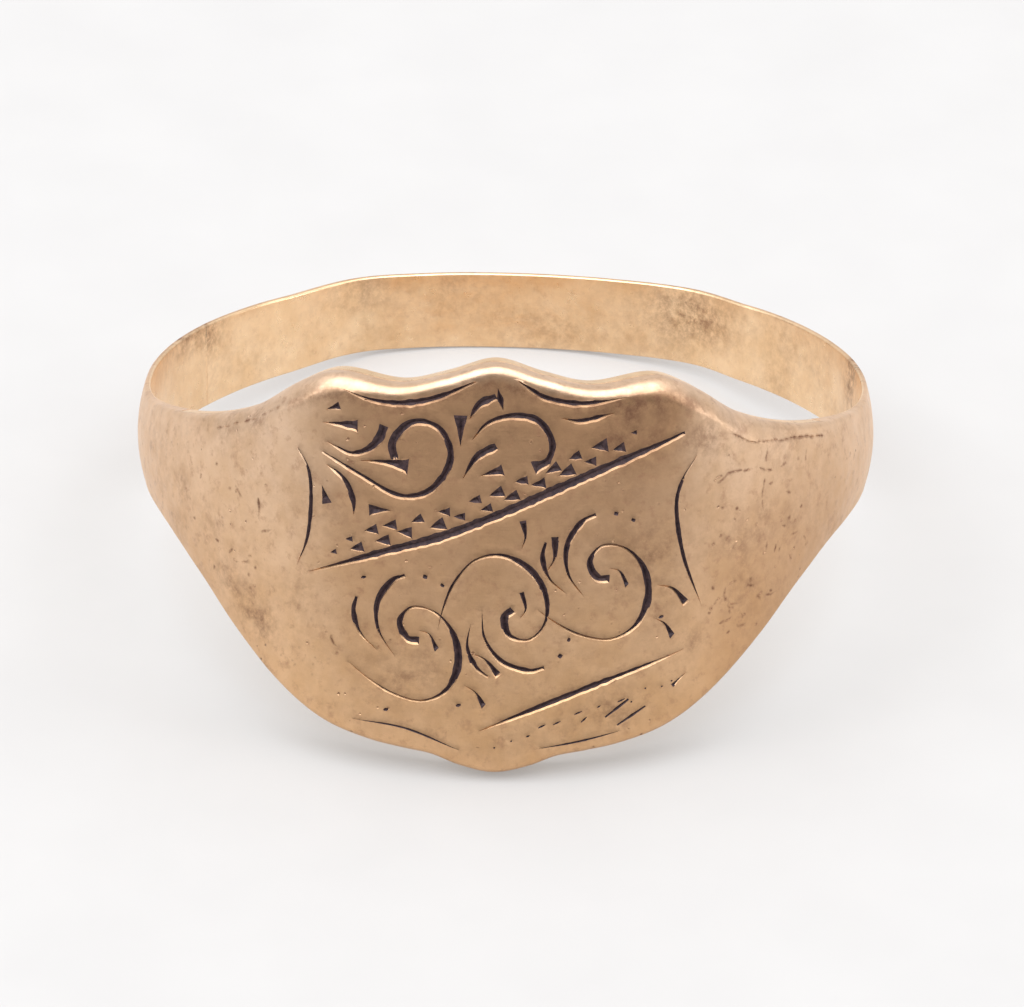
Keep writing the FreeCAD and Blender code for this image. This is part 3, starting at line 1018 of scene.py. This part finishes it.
# ---- stage, light and camera ----
def floor(height):
    """Sheet under the ring, at the given height."""
    size = 0.5
    corners = [(-size, -size, height), (size, -size, height), (size, size, height), (-size, size, height)]
    mesh = bpy.data.meshes.new("floor")
    mesh.from_pydata(corners, [], [(0, 1, 2, 3)])
    mesh.materials.append(floor_material())
    linked("floor", mesh)


def softbox(name, position, width, depth, power, colour):
    """Oblong area light aimed at the ring."""
    data = bpy.data.lights.new(name, "AREA")
    data.shape = "RECTANGLE"
    data.size = width
    data.size_y = depth
    data.energy = power
    data.color = colour
    lamp = linked(name, data)
    lamp.location = position
    lamp.rotation_euler = (-Vector(position)).to_track_quat("-Z", "Y").to_euler()


def surroundings():
    """Pale room: bright overhead and behind, darker low down in front of the face."""
    world = bpy.data.worlds.new("room")
    world.use_nodes = True
    tree = world.node_tree
    direction = add(tree, "ShaderNodeTexCoord").outputs["Generated"]
    part = add(tree, "ShaderNodeSeparateXYZ", {0: direction})
    front = ramp(tree, part.outputs["Z"], (0.0, (0.62, 0.61, 0.60, 1)), (0.08, (0.30, 0.28, 0.28, 1)),
                 (0.38, (0.33, 0.32, 0.32, 1)), (0.62, (1.0, 1.0, 1.0, 1)))
    rear = ramp(tree, part.outputs["Z"], (0.0, (1.2, 1.2, 1.22, 1)), (0.5, (1.5, 1.5, 1.5, 1)))
    colour = blend(tree, remap(tree, part.outputs["Y"], 0.0, 0.6), front, rear)
    feed(tree, tree.nodes["Background"], {"Color": colour, "Strength": 0.62})
    bpy.context.scene.world = world


def camera():
    """Camera at the viewing angle: a little above the ring's own plane, almost straight on to the face."""
    distance = 170.0
    rise = math.radians(19.0)
    swing = math.radians(1.5)
    aim_right = 0.17
    aim_up = -2.10
    level = SIDE * math.sin(swing) - BACK * math.cos(swing)
    towards = level * math.cos(rise) + FINGER_AXIS * math.sin(rise)
    right = SIDE * math.cos(swing) + BACK * math.sin(swing)
    target = (right * aim_right + towards.cross(right) * aim_up) * MM
    data = bpy.data.cameras.new("camera")
    data.lens = 233.7
    data.sensor_width = 36.0
    data.clip_start = 0.01
    eye = linked("camera", data)
    eye.location = towards * distance * MM
    eye.rotation_euler = (target - eye.location).to_track_quat("-Z", "Y").to_euler()
    bpy.context.scene.camera = eye


def main():
    """The six pieces, each put on the root body in place of the CAD part it stands for, and what stands
    round them.
    """
    # The third colour of each gold is its painted shade colour; the dirt colour also paints the shade band
    # under the head's rim
    gold = gold_material("worn_rose_gold", light=(0.83, 0.58, 0.38, 1), deep=(0.74, 0.495, 0.30, 1),
                         painted_shade_colour=(0.50, 0.29, 0.15, 1), dirt_and_shade_colour=(0.24, 0.125, 0.075, 1), roughness=0.36,
                         dirt_and_shade_amount=1.0, pitting=0.8, change=0.11)
    band_gold = gold_material("band_rose_gold", light=(0.98, 0.71, 0.445, 1), deep=(0.89, 0.612, 0.355, 1),
                              painted_shade_colour=(0.50, 0.30, 0.165, 1), dirt_and_shade_colour=(0.25, 0.125, 0.07, 1), roughness=0.30,
                              dirt_and_shade_amount=0.8, pitting=0.12, change=0.0)
    solder = solder_material()
    pieces = [
        (front_shell(gold, patina_material(), band_gold), "front_shell", "rose_gold"),
        (liner(band_gold), "liner", "rose_gold_inside"),
        (liner_solder(solder), "liner_solder", "solder"),
        (back_shank(gold, band_gold), "back_shank", "rose_gold_band"),
        (joint_solder("left_joint_bead", LEFT_JOINT - JOINT_SOLDER, solder), "left_joint_solder", "solder"),
        (joint_solder("right_joint_bead", RIGHT_JOINT, solder), "right_joint_solder", "solder"),
    ]
    for piece, node, slot in pieces:
        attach(piece, "root")
        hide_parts(node)
    bpy.context.view_layer.update()
    floor(CAD_BOX[0][2])
    surroundings()
    softbox("overhead", (0.0, -0.02, 0.36), width=0.80, depth=0.56, power=3.5, colour=(0.94, 0.97, 1.04))
    fill_colour = (0.96, 0.98, 1.02)
    softbox("left_fill", (-0.33, -0.08, 0.18), width=0.22, depth=0.22, power=0.34, colour=fill_colour)
    softbox("right_fill", (0.31, -0.03, 0.085), width=0.15, depth=0.15, power=0.22, colour=fill_colour)
    camera()
    bpy.context.scene.view_settings.view_transform = "Standard"


main()
